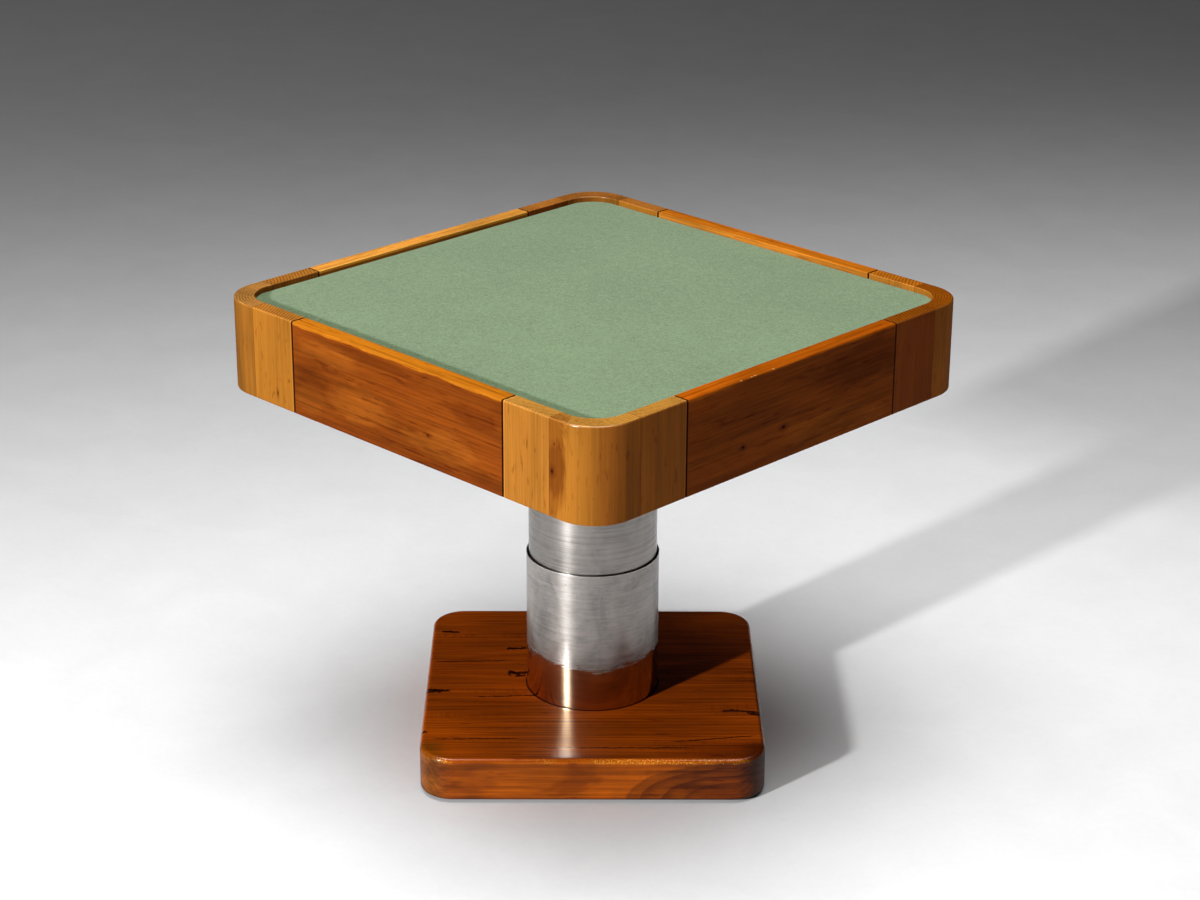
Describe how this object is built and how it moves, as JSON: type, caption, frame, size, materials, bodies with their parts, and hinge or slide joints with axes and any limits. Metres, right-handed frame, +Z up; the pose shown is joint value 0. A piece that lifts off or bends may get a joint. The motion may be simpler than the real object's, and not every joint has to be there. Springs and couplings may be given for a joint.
{
  "type": "adjustable game table",
  "caption": "Square felt-topped game table with rim drawers on a telescoping, swivelling steel column and a square wooden plinth.",
  "frame": {"origin": "on the floor, on the column's axis, at the middle of the table", "axes": "+Z up along the column; the sides of the top lie along X and Y and the front drawer faces -Y; the plinth is turned 45 degrees under the top"},
  "size_m": [0.84, 0.84, 0.756],
  "materials": {
    "walnut_panel": "satin varnish, reddish brown, grain along the panel",
    "walnut_corner": "satin varnish, golden brown, upright grain",
    "plinth_wood": "glossy varnish, dark red-brown",
    "plywood": "sanded, unvarnished",
    "beech": "waxed",
    "green_felt": "short woollen felt",
    "column_steel": "brushed round the tube, nearly polished at the foot",
    "black_steel": "black powder coat",
    "zinc_steel": "zinc plated",
    "nylon": "moulded black",
    "chromed_rod": "hard chrome"
  },
  "bodies": {
    "base": {"plinth": "plinth_wood", "plinth_glides": "nylon", "base_plate": "black_steel", "base_plate_screws": "zinc_steel", "stand_tube": "black_steel", "guide_sleeve": "nylon", "outer_tube": "column_steel", "outer_tube_spigot": "black_steel", "bearing_lower_washer": "zinc_steel"},
    "piston_rod_body": {"piston_rod": "chromed_rod", "piston": "nylon", "rod_clip": "zinc_steel", "bearing_balls": "chromed_rod", "bearing_upper_washer": "zinc_steel"},
    "tabletop": {"gas_cylinder": "black_steel", "cylinder_gland": "nylon", "hub_plate": "black_steel", "hub_screws": "zinc_steel", "inner_tube": "column_steel", "inner_tube_ring": "black_steel", "ring_screws": "zinc_steel", "lever_bracket": "zinc_steel", "lever_pin": "zinc_steel", "floor_board": "plywood", "field_board": "plywood", "felt": "green_felt", "drawer_runners": "beech", "drawer_stops": "beech", "carcass_screws": "zinc_steel", "core_wall_front": "plywood", "core_wall_right": "plywood", "core_wall_back": "plywood", "core_wall_left": "plywood", "corner_block_back_right": "walnut_corner", "corner_staves_back_right": "walnut_corner", "corner_brace_back_right": "plywood", "corner_block_back_left": "walnut_corner", "corner_staves_back_left": "walnut_corner", "corner_brace_back_left": "plywood", "corner_block_front_left": "walnut_corner", "corner_staves_front_left": "walnut_corner", "corner_brace_front_left": "plywood", "corner_block_front_right": "walnut_corner", "corner_staves_front_right": "walnut_corner", "corner_brace_front_right": "plywood"},
    "release_lever_body": {"release_lever": "black_steel", "lever_grip": "nylon"},
    "valve_pin_body": {"valve_pin": "chromed_rod"},
    "drawer_front": {"drawer_front_panel": "walnut_panel", "drawer_front_walls": "beech", "drawer_front_bottom": "plywood"},
    "drawer_right": {"drawer_right_panel": "walnut_panel", "drawer_right_walls": "beech", "drawer_right_bottom": "plywood"},
    "drawer_back": {"drawer_back_panel": "walnut_panel", "drawer_back_walls": "beech", "drawer_back_bottom": "plywood"},
    "drawer_left": {"drawer_left_panel": "walnut_panel", "drawer_left_walls": "beech", "drawer_left_bottom": "plywood"}
  },
  "joints": [
    {"name": "swivel", "type": "hinge", "parent": "base", "child": "piston_rod_body", "pos_m": [0, 0, 0.02], "axis": [0, 0, 1], "continuous": true},
    {"name": "lift", "type": "slide", "parent": "piston_rod_body", "child": "tabletop", "axis": [0, 0, 1], "range_m": [-0.16, 0]},
    {"name": "lever_lift", "type": "hinge", "parent": "tabletop", "child": "release_lever_body", "pos_m": [0.04, 0, 0.611], "axis": [0, -1, 0], "range_deg": [0, 5], "stiffness_Nm_per_rad": 3, "springref_deg": -8.59},
    {"name": "valve_press", "type": "slide", "parent": "tabletop", "child": "valve_pin_body", "axis": [0, 0, -1], "range_m": [0, 0.0036]},
    {"name": "drawer_front_slide", "type": "slide", "parent": "tabletop", "child": "drawer_front", "axis": [0, -1, 0], "range_m": [0, 0.13]},
    {"name": "drawer_right_slide", "type": "slide", "parent": "tabletop", "child": "drawer_right", "axis": [1, 0, 0], "range_m": [0, 0.13]},
    {"name": "drawer_back_slide", "type": "slide", "parent": "tabletop", "child": "drawer_back", "axis": [0, 1, 0], "range_m": [0, 0.13]},
    {"name": "drawer_left_slide", "type": "slide", "parent": "tabletop", "child": "drawer_left", "axis": [-1, 0, 0], "range_m": [0, 0.13]}
  ],
  "couplings": [
    {"joint": "valve_press", "follows": "lever_lift", "m_per_rad": 0.04}
  ]
}
